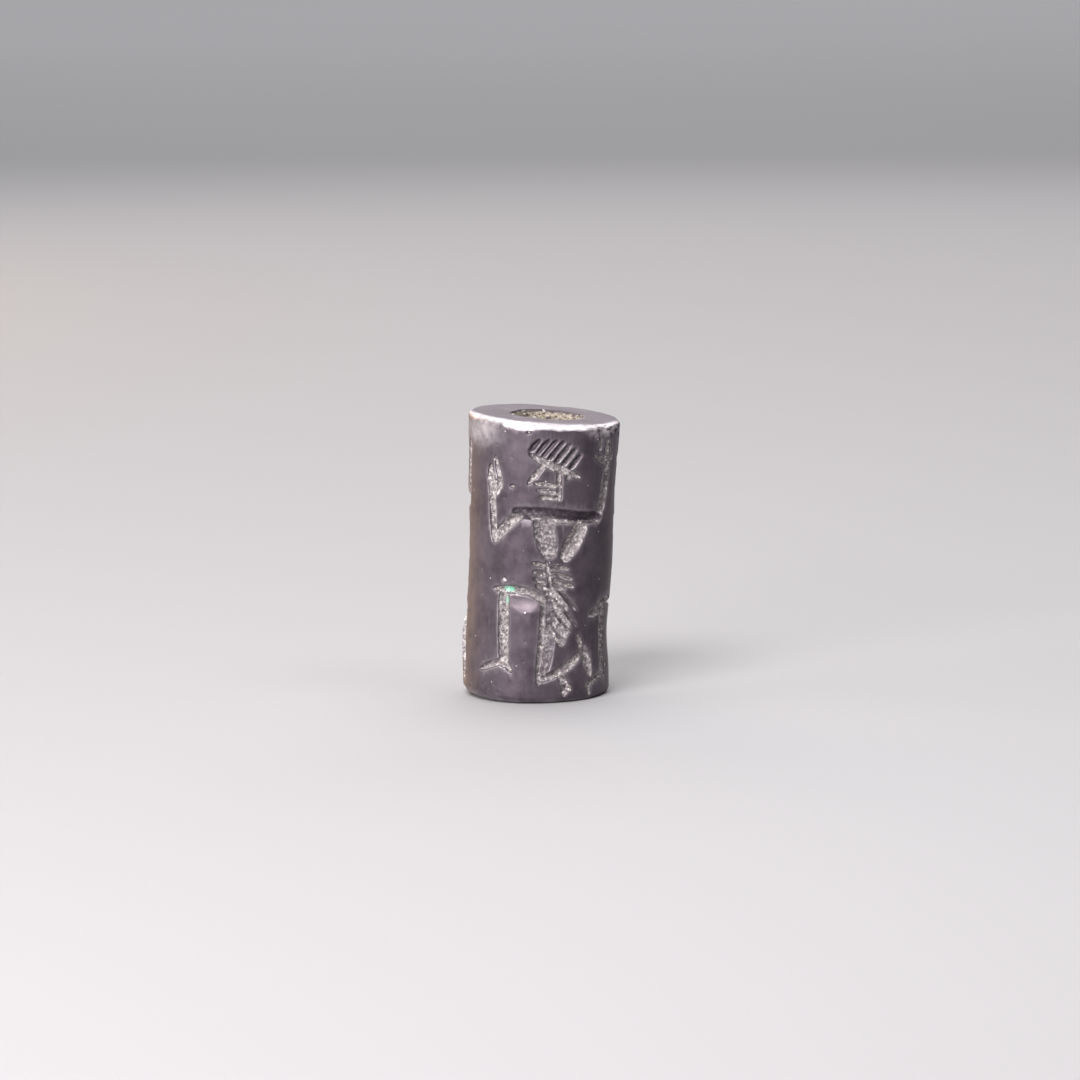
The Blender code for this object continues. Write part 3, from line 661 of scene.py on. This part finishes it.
# Worn places, which also carry painted highlight: the worn rim and foot, a patch at the top
# left, the lips of the grooves and the chips on the right of the rim
wear_and_highlight = np.clip(np.abs(edge_in) + np.abs(edge_down) + 0.3 * np.abs(foot_in), 0, 0.3) / 0.3
wear_and_highlight = np.maximum(wear_and_highlight, on_mesh(0.8 * dab((-7.8, 26.0), 2.6, 1.1)))
wear_and_highlight = np.maximum(wear_and_highlight, on_mesh(0.25 * np.clip(raised / 0.1, 0, 1)))
chipped = stone_noise(wall_spots, 0.45, 42) > 0.1
wear_and_highlight = np.maximum(wear_and_highlight, on_mesh(chipped * dab((7.6, 26.5), 2.6, 0.7)))
lime_patches = 0.25 * stone_noise(spot, 1.4, 41)
lime = in_bore * (0.15 + 0.95 * near_mouth + lime_patches)
from_end = np.minimum(from_top, from_foot)
lime = np.clip(lime, 0, 1) * np.clip(0.3 + from_end / 0.7, 0, 1)
for name, values in [("crust", crust), ("verdigris", verdigris), ("pale_scoop", pale_scoop),
                     ("warm_sheen_and_patina", warm_sheen_and_patina), ("wear_and_highlight", wear_and_highlight), ("lime", lime)]:
    layer = seal_mesh.attributes.new(name, "FLOAT", "POINT")
    layer.data.foreach_set("value", values.astype(np.float32))
seal_mesh.vertices.foreach_set("co", spot.ravel())
seal_mesh.update()

# The plain stretches need few faces, so they go to the grooves
FACES_KEPT = 188000
carving = bpy.data.objects.new("carving", seal_mesh)
bpy.context.scene.collection.objects.link(carving)
thinning = carving.modifiers.new("thinning", "DECIMATE")
thinning.ratio = FACES_KEPT / (2 * len(seal_mesh.polygons))
seal_mesh = plain_mesh(carving, "carved_seal")
for name in ("share", "turn"):
    seal_mesh.attributes.remove(seal_mesh.attributes[name])
to_metres = Matrix.Translation((AXIS_FOOT_X * MM, 0, 0))
to_metres = to_metres @ Matrix.Rotation(AXIS_LEAN, 4, "Y") @ Matrix.Scale(MM, 4)
seal_mesh.transform(to_metres)


def rest_on_floor(mesh):
    """Nothing of the seal goes below the plane that it stands on."""
    for vertex in mesh.vertices:
        vertex.co.z = max(vertex.co.z, 0.0)


rest_on_floor(seal_mesh)
seal_mesh.shade_smooth()
carved_seal = bpy.data.objects.new("carved_seal", seal_mesh)
bpy.context.scene.collection.objects.link(carved_seal)

# Ground haematite: a heavy iron oxide, near black with a purple cast. Grinding and long
# handling leave a grey, half metallic gloss that breaks up over the grain of the stone.
# The real grain is too fine to show, so it is drawn about a tenth of a millimetre wide.
STONE_DARK = "3b333b"
STONE_MIDDLE = "4d454d"
STONE_LIGHT = "5e565e"
# Brown of the painted warm reflection on the left side and of the patina at the right back
SHEEN_AND_PATINA_BROWN = "7d6b5b"
# Near-white grey, a painted highlight on worn edges
WORN_HIGHLIGHT_GREY = "dcd5da"
SCOOP_GREY = "857b82"
SPECK_WHITE = "c4bfc2"
CRUST_PALE = "d2cdce"
CRUST_GREY = "8a8386"
CRUST_DARK = "5f575b"
LIME_YELLOW = "b3a68c"
COPPER_GREEN = "8accb4"
COPPER_MINT = "c2e2d7"
GRAIN = 0.12 * MM
PATCH = 0.38 * MM
STREAK = 0.22 * MM
MOTTLE = 0.9 * MM
CLOUD = 4.0 * MM


def linear(code):
    """An sRGB hex colour as the linear colour that a shader takes."""
    colour = []
    for place in (0, 2, 4):
        value = int(code[place:place + 2], 16) / 255
        colour.append(value / 12.92 if value <= 0.04045 else ((value + 0.055) / 1.055) ** 2.4)
    return (*colour, 1.0)


haematite.use_nodes = True
tree = haematite.node_tree
shader = tree.nodes["Principled BSDF"]
where = add_node(tree, "ShaderNodeTexCoord").outputs["Object"]
cloud = add_node(tree, "ShaderNodeTexNoise", {"Vector": where, "Scale": 1 / CLOUD})
mottle = add_node(tree, "ShaderNodeTexNoise", {
    "Vector": where, "Scale": 1 / MOTTLE, "Detail": 4.0, "Roughness": 0.65})
grain = add_node(tree, "ShaderNodeTexNoise", {
    "Vector": where, "Scale": 1 / GRAIN, "Detail": 2.0, "Roughness": 0.6})
# Grinding along the bar left faint streaks up and down the wall
drawn_out = add_node(tree, "ShaderNodeMapping", {"Vector": where, "Scale": (1.0, 1.0, 0.1)})
streaks = add_node(tree, "ShaderNodeTexNoise", {"Vector": drawn_out, "Scale": 1 / STREAK})
mottled = add_node(tree, "ShaderNodeMath", {0: streaks, 1: 0.35, 2: mottle},
                   operation="MULTIPLY_ADD")
mottled = add_node(tree, "ShaderNodeMapRange", {
    "Value": mottled, "From Min": 0.45, "From Max": 0.9})
stone = add_node(tree, "ShaderNodeMix", {
    "Factor": mottled, "A": linear(STONE_DARK), "B": linear(STONE_MIDDLE)}, data_type="RGBA")
clouded = add_node(tree, "ShaderNodeMapRange", {
    "Value": cloud, "From Min": 0.4, "From Max": 0.75, "To Max": 0.6})
stone = add_node(tree, "ShaderNodeMix", {
    "Factor": clouded, "A": stone, "B": linear(STONE_LIGHT)}, data_type="RGBA")

# The brown on the left side is a painted warm reflection, broken by the mottling, and the
# weaker brown patch at the right back is iron patina
sheen_and_patina_here = add_node(tree, "ShaderNodeAttribute", attribute_name="warm_sheen_and_patina").outputs["Fac"]
sheen_and_patina_part = add_node(tree, "ShaderNodeMapRange", {"Value": mottled, "To Min": 0.35})
sheen_and_patina_here = add_node(tree, "ShaderNodeMath", {0: sheen_and_patina_here, 1: sheen_and_patina_part},
                       operation="MULTIPLY", use_clamp=True)
stone = add_node(tree, "ShaderNodeMix", {
    "Factor": sheen_and_patina_here, "A": stone, "B": linear(SHEEN_AND_PATINA_BROWN)}, data_type="RGBA")

# Rubbed edges are smoother and more metallic, and their near-white grey is painted highlight,
# on the worn rim and foot, a patch at the top left, the lips of the grooves and the chips on
# the right of the rim
wear_and_highlight_here = add_node(tree, "ShaderNodeAttribute", attribute_name="wear_and_highlight").outputs["Fac"]
wear_and_highlight_part = add_node(tree, "ShaderNodeMapRange", {
    "Value": mottle, "From Min": 0.36, "From Max": 0.6, "To Min": 0.45, "To Max": 1.0})
wear_and_highlight_here = add_node(tree, "ShaderNodeMath", {0: wear_and_highlight_here, 1: wear_and_highlight_part},
                       operation="MULTIPLY")
stone = add_node(tree, "ShaderNodeMix", {
    "Factor": wear_and_highlight_here, "A": stone, "B": linear(WORN_HIGHLIGHT_GREY)}, data_type="RGBA")
scoop_here = add_node(tree, "ShaderNodeAttribute", attribute_name="pale_scoop").outputs["Fac"]
stone = add_node(tree, "ShaderNodeMix", {
    "Factor": scoop_here, "A": stone, "B": linear(SCOOP_GREY)}, data_type="RGBA")

# A few white mineral specks, each under a tenth of a millimetre across
cells = add_node(tree, "ShaderNodeTexVoronoi", {"Vector": where, "Scale": 1 / (0.8 * MM)})
speck = add_node(tree, "ShaderNodeMapRange", {
    "Value": cells.outputs["Distance"], "From Min": 0.1, "From Max": 0.04})
chosen = add_node(tree, "ShaderNodeSeparateColor", {0: cells.outputs["Color"]})
chosen = add_node(tree, "ShaderNodeMath", {0: chosen.outputs[0], 1: 0.85},
                  operation="GREATER_THAN")
speck = add_node(tree, "ShaderNodeMath", {0: speck, 1: chosen}, operation="MULTIPLY")
stone = add_node(tree, "ShaderNodeMix", {
    "Factor": speck, "A": stone, "B": linear(SPECK_WHITE)}, data_type="RGBA")

# Pale lime and grit lie in the grooves in patches, with dark hollows between them. They
# are yellower in the bore
crust_here = add_node(tree, "ShaderNodeAttribute", attribute_name="crust").outputs["Fac"]
lime_here = add_node(tree, "ShaderNodeAttribute", attribute_name="lime").outputs["Fac"]
patches = add_node(tree, "ShaderNodeTexNoise", {
    "Vector": where, "Scale": 1 / PATCH, "Detail": 4.0, "Roughness": 0.7})
hollows = add_node(tree, "ShaderNodeMapRange", {
    "Value": patches, "From Min": 0.32, "From Max": 0.48})
pale_grains = add_node(tree, "ShaderNodeMapRange", {
    "Value": patches, "From Min": 0.5, "From Max": 0.66})
crust_colour = add_node(tree, "ShaderNodeMix", {
    "Factor": hollows, "A": linear(CRUST_DARK), "B": linear(CRUST_GREY)}, data_type="RGBA")
crust_colour = add_node(tree, "ShaderNodeMix", {
    "Factor": pale_grains, "A": crust_colour, "B": linear(CRUST_PALE)}, data_type="RGBA")
yellowed = add_node(tree, "ShaderNodeMath", {0: lime_here, 1: hollows}, operation="MULTIPLY")
yellowed = add_node(tree, "ShaderNodeMath", {0: yellowed, 1: 0.7}, operation="MULTIPLY")
crust_colour = add_node(tree, "ShaderNodeMix", {
    "Factor": yellowed, "A": crust_colour, "B": linear(LIME_YELLOW)}, data_type="RGBA")
covered = add_node(tree, "ShaderNodeMath", {0: crust_here, 1: lime_here}, operation="MAXIMUM")
covered = add_node(tree, "ShaderNodeMath", {0: patches, 1: 0.7, 2: covered},
                   operation="MULTIPLY_ADD")
covered = add_node(tree, "ShaderNodeMapRange", {
    "Value": covered, "From Min": 0.6, "From Max": 1.1})
colour = add_node(tree, "ShaderNodeMix", {
    "Factor": covered, "A": stone, "B": crust_colour}, data_type="RGBA")

# Green copper salts at the knee of the front figure
green_here = add_node(tree, "ShaderNodeAttribute", attribute_name="verdigris").outputs["Fac"]
green_colour = add_node(tree, "ShaderNodeMix", {
    "Factor": pale_grains, "A": linear(COPPER_GREEN), "B": linear(COPPER_MINT)},
    data_type="RGBA")
green_here = add_node(tree, "ShaderNodeMapRange", {
    "Value": green_here, "From Min": 0.25, "From Max": 0.6})
colour = add_node(tree, "ShaderNodeMix", {
    "Factor": green_here, "A": colour, "B": green_colour}, data_type="RGBA")
tree.links.new(colour.outputs[2], shader.inputs["Base Color"])

gloss = add_node(tree, "ShaderNodeMapRange", {
    "Value": mottled, "To Min": 0.32, "To Max": 0.42})
gloss = add_node(tree, "ShaderNodeMix", {"Factor": wear_and_highlight_here, "A": gloss, "B": 0.3})
gloss = add_node(tree, "ShaderNodeMix", {"Factor": covered, "A": gloss, "B": 0.3})
tree.links.new(gloss.outputs[0], shader.inputs["Roughness"])
metal = add_node(tree, "ShaderNodeMapRange", {
    "Value": wear_and_highlight_here, "To Min": 0.45, "To Max": 0.75})
metal = add_node(tree, "ShaderNodeMix", {"Factor": covered, "A": metal, "B": 0.3})
tree.links.new(metal.outputs[0], shader.inputs["Metallic"])
shader.inputs["Specular Tint"].default_value = linear("b8b2b8")

# Fine grain, with stronger grit where crust lies
lumps = add_node(tree, "ShaderNodeMath", {0: grain, 1: 0.8, 2: patches},
                 operation="MULTIPLY_ADD")
relief = add_node(tree, "ShaderNodeMix", {"Factor": covered, "A": 0.04, "B": 1.0})
relief = add_node(tree, "ShaderNodeMath", {0: relief, 1: lumps}, operation="MULTIPLY")
bump = add_node(tree, "ShaderNodeBump", {
    "Height": relief, "Distance": 0.17 * MM, "Strength": 1.0})
tree.links.new(bump.outputs[0], shader.inputs["Normal"])

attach(carved_seal, "root")
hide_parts("seal")


# The grit: grains of sand and lime that are stuck in the grooves, and larger lumps of the
# same in the mouths of the bore. Each is an irregular pebble, half sunk in the crust.

GRIT_DENSITY = 9.0 / (MM * MM)
GRIT_SMALLEST = 0.035 * MM
GRIT_LARGEST = 0.075 * MM
GRIT_SEED = 5
LUMP_DENSITY = 6.0 / (MM * MM)
LUMP_SMALLEST = 0.07 * MM
LUMP_LARGEST = 0.19 * MM
# The palest grit tone is near white and paints glints on the grains in the grooves
GRIT_PALE_AND_GLINT = "dedad3"
GRIT_GREY = "5d5653"
GRIT_BROWN = "6d5f4e"

mineral_grit = bpy.data.materials.new("mineral_grit")
tree, given = new_tree("grit_on_crust", {
    "Geometry": "Geometry", "Layer": "String", "Density": "Float", "Smallest": "Float",
    "Largest": "Float", "Unevenness": "Float", "Palest": "Float", "Roundness": "Int",
    "Seed": "Int", "Material": "Material"})
layer_here = add_node(tree, "GeometryNodeInputNamedAttribute", {"Name": given["Layer"]},
                      data_type="FLOAT")
enough = add_node(tree, "ShaderNodeMapRange", {
    "Value": layer_here, "From Min": 0.55, "From Max": 0.95})
density = add_node(tree, "ShaderNodeMath", {0: enough, 1: given["Density"]},
                   operation="MULTIPLY")
points = add_node(tree, "GeometryNodeDistributePointsOnFaces", {
    "Mesh": given["Geometry"], "Density": density, "Seed": given["Seed"]})
lump = add_node(tree, "GeometryNodeMeshIcoSphere", {
    "Radius": 1.0, "Subdivisions": given["Roundness"]})
turned = add_node(tree, "FunctionNodeRandomValue", {
    "Min": (0.0, 0.0, 0.0), "Max": (6.3, 6.3, 6.3), "Seed": given["Seed"]},
    data_type="FLOAT_VECTOR")
widths = add_node(tree, "FunctionNodeRandomValue", {
    "Min": (0.6, 0.6, 0.6), "Max": (1.3, 1.3, 1.3), "Seed": given["Seed"]},
    data_type="FLOAT_VECTOR")
size = add_node(tree, "FunctionNodeRandomValue", {
    "Min": given["Smallest"], "Max": given["Largest"], "Seed": given["Seed"]},
    data_type="FLOAT")
widths = add_node(tree, "ShaderNodeVectorMath", {0: widths, "Scale": size}, operation="SCALE")
lumps = add_node(tree, "GeometryNodeInstanceOnPoints", {
    "Points": points.outputs["Points"], "Instance": lump, "Rotation": turned,
    "Scale": widths})
tone = add_node(tree, "FunctionNodeRandomValue", {
    "Max": given["Palest"], "Seed": given["Seed"]}, data_type="FLOAT")
lumps = add_node(tree, "GeometryNodeStoreNamedAttribute", {
    "Geometry": lumps, "Name": "tone", "Value": tone}, data_type="FLOAT", domain="INSTANCE")
lumps = add_node(tree, "GeometryNodeRealizeInstances", {"Geometry": lumps})
dents = add_node(tree, "ShaderNodeMath", {0: 0.8, 1: given["Unevenness"]}, operation="DIVIDE")
dents = add_node(tree, "ShaderNodeTexNoise", {"Scale": dents, "Detail": 0.0})
dents = add_node(tree, "ShaderNodeVectorMath", {
    0: dents.outputs["Color"], 1: (0.5, 0.5, 0.5)}, operation="SUBTRACT")
dents = add_node(tree, "ShaderNodeVectorMath", {0: dents, "Scale": given["Unevenness"]},
                 operation="SCALE")
lumps = add_node(tree, "GeometryNodeSetPosition", {"Geometry": lumps, "Offset": dents})
lumps = add_node(tree, "GeometryNodeSetMaterial", {
    "Geometry": lumps, "Material": given["Material"]})
add_node(tree, "NodeGroupOutput", {"Result": lumps})

grit_mesh = grown_mesh("groove_grit", tree, {
    "Layer": "crust", "Density": GRIT_DENSITY, "Smallest": GRIT_SMALLEST,
    "Largest": GRIT_LARGEST, "Unevenness": GRIT_SMALLEST, "Palest": 1.0, "Roundness": 1,
    "Seed": GRIT_SEED, "Material": mineral_grit}, seal_mesh)
groove_grit = bpy.data.objects.new("groove_grit", grit_mesh)
bpy.context.scene.collection.objects.link(groove_grit)
lump_mesh = grown_mesh("bore_lumps", tree, {
    "Layer": "lime", "Density": LUMP_DENSITY, "Smallest": LUMP_SMALLEST,
    "Largest": LUMP_LARGEST, "Unevenness": 1.2 * LUMP_LARGEST, "Palest": 0.38, "Roundness": 2,
    "Seed": GRIT_SEED, "Material": mineral_grit}, seal_mesh)
lump_mesh.shade_smooth()
rest_on_floor(grit_mesh)
rest_on_floor(lump_mesh)
bore_lumps = bpy.data.objects.new("bore_lumps", lump_mesh)
bpy.context.scene.collection.objects.link(bore_lumps)

# Sand and lime: dull, pale grey to buff grains, and the palest grains in the grooves are near
# white, which paints glints on them
mineral_grit.use_nodes = True
tree = mineral_grit.node_tree
shader = tree.nodes["Principled BSDF"]
where = add_node(tree, "ShaderNodeTexCoord").outputs["Object"]
tone_here = add_node(tree, "ShaderNodeAttribute", attribute_name="tone").outputs["Fac"]
dusting = add_node(tree, "ShaderNodeTexNoise", {"Vector": where, "Scale": 1 / (0.4 * MM)})
grit_colour = add_node(tree, "ShaderNodeMix", {
    "Factor": tone_here, "A": linear(GRIT_GREY), "B": linear(GRIT_PALE_AND_GLINT)}, data_type="RGBA")
browned = add_node(tree, "ShaderNodeMapRange", {
    "Value": dusting, "From Min": 0.5, "From Max": 0.75, "To Max": 0.8})
grit_colour = add_node(tree, "ShaderNodeMix", {
    "Factor": browned, "A": grit_colour, "B": linear(GRIT_BROWN)}, data_type="RGBA")
tree.links.new(grit_colour.outputs[2], shader.inputs["Base Color"])
dullness = add_node(tree, "ShaderNodeMapRange", {
    "Value": dusting, "To Min": 0.6, "To Max": 0.9})
tree.links.new(dullness.outputs[0], shader.inputs["Roughness"])
shader.inputs["IOR"].default_value = 1.5

for piece in (groove_grit, bore_lumps):
    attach(piece, "root")


# The floor: a plain pale board, far wider than the view, just under the seal's foot.

FLOOR_REACH = 4.0
FLOOR_DROP = 0.02 * MM
FLOOR_PALE = "939295"
FLOOR_SHADE = "8e8d90"

floor_mesh = bpy.data.meshes.new("floor")
floor_corners = [(side_x * FLOOR_REACH, side_y * FLOOR_REACH, -FLOOR_DROP)
                 for side_x, side_y in [(-1, -1), (1, -1), (1, 1), (-1, 1)]]
floor_mesh.from_pydata(floor_corners, [], [(0, 1, 2, 3)])
floor = bpy.data.objects.new("floor", floor_mesh)
bpy.context.scene.collection.objects.link(floor)
board = bpy.data.materials.new("painted_board")
board.use_nodes = True
tree = board.node_tree
shader = tree.nodes["Principled BSDF"]
where = add_node(tree, "ShaderNodeTexCoord").outputs["Object"]
drift = add_node(tree, "ShaderNodeTexNoise", {"Vector": where, "Scale": 3.0})
paint = add_node(tree, "ShaderNodeMix", {
    "Factor": drift, "A": linear(FLOOR_SHADE), "B": linear(FLOOR_PALE)}, data_type="RGBA")
tree.links.new(paint.outputs[2], shader.inputs["Base Color"])
shader.inputs["Roughness"].default_value = 0.8
shader.inputs["Specular IOR Level"].default_value = 0.2
floor_mesh.materials.append(board)


# The light: two softboxes at the left front, and weaker ones at both sides, above and
# behind, which light the rim and the top. The room round them is dim.

AIM = Vector((0.0, 0.0, 0.014))


def softbox(name, azimuth, elevation, distance, width, height, power, colour, aim=AIM):
    """A rectangular area light that faces the seal, unless another aim is given.

    Azimuth 0 is at the camera's side.
    """
    turned = math.radians(azimuth)
    raised = math.radians(elevation)
    away = Vector((math.sin(turned) * math.cos(raised), -math.cos(turned) * math.cos(raised),
                   math.sin(raised)))
    light = bpy.data.lights.new(name, "AREA")
    light.shape = "RECTANGLE"
    light.size = width
    light.size_y = height
    light.energy = power
    light.color = linear(colour)[:3]
    lamp = bpy.data.objects.new(name, light)
    lamp.location = aim + away * distance
    lamp.rotation_euler = away.to_track_quat("Z", "Y").to_euler()
    bpy.context.scene.collection.objects.link(lamp)


softbox("key_softbox", -34, 13, 0.45, 0.28, 0.16, 2.4, "fffaf8")
softbox("high_softbox", -26, 52, 0.42, 0.2, 0.14, 2.0, "fffdfb")
softbox("right_softbox", 62, 52, 0.42, 0.16, 0.14, 0.4, "fffdfb")
softbox("side_softbox", -88, 16, 0.45, 0.3, 0.22, 0.9, "fff6ee")
softbox("top_softbox", 180, 76, 0.42, 0.5, 0.26, 1.8, "ffffff")
softbox("warm_edge", -145, 18, 0.45, 0.2, 0.2, 0.4, "ffdcb8")
softbox("back_light", 176, 22, 0.5, 0.5, 0.2, 0.6, "fbf6f4")
# This one hangs over the floor behind the seal, which would else be dark
softbox("far_floor_light", 0, 90, 0.6, 1.4, 0.7, 9.0, "ffffff", Vector((0.0, 1.0, 0.0)))

ROOM_GREY = "c8ccd4"
ROOM_STRENGTH = 0.1

room = bpy.data.worlds.new("room")
room.use_nodes = True
room.node_tree.nodes["Background"].inputs["Color"].default_value = linear(ROOM_GREY)
room.node_tree.nodes["Background"].inputs["Strength"].default_value = ROOM_STRENGTH
bpy.context.scene.world = room


# The camera: it looks down on the seal at nine degrees from far off, and is rolled a little.

CAMERA_FALL = math.radians(9.0)
CAMERA_ROLL = math.radians(0.65)
CAMERA_AWAY = 0.6
CAMERA_LENS = 206.343
CAMERA_AIM = Vector((-0.0001057, 0.0, 0.0148499))

view = bpy.data.cameras.new("camera")
view.lens = CAMERA_LENS
view.sensor_width = 36
view.clip_start = 0.01
camera = bpy.data.objects.new("camera", view)
looking = Vector((0, math.cos(CAMERA_FALL), -math.sin(CAMERA_FALL)))
standing = (-looking).to_track_quat("Z", "Y").to_matrix().to_4x4()
camera.matrix_world = (Matrix.Translation(CAMERA_AIM - looking * CAMERA_AWAY) @ standing
                       @ Matrix.Rotation(-CAMERA_ROLL, 4, "Z"))
bpy.context.scene.collection.objects.link(camera)
bpy.context.scene.camera = camera

# The photo's bright edges are near white and its hollows near black, so the picture is
# shown with the plain tone curve, which keeps that contrast
bpy.context.scene.view_settings.view_transform = "Standard"
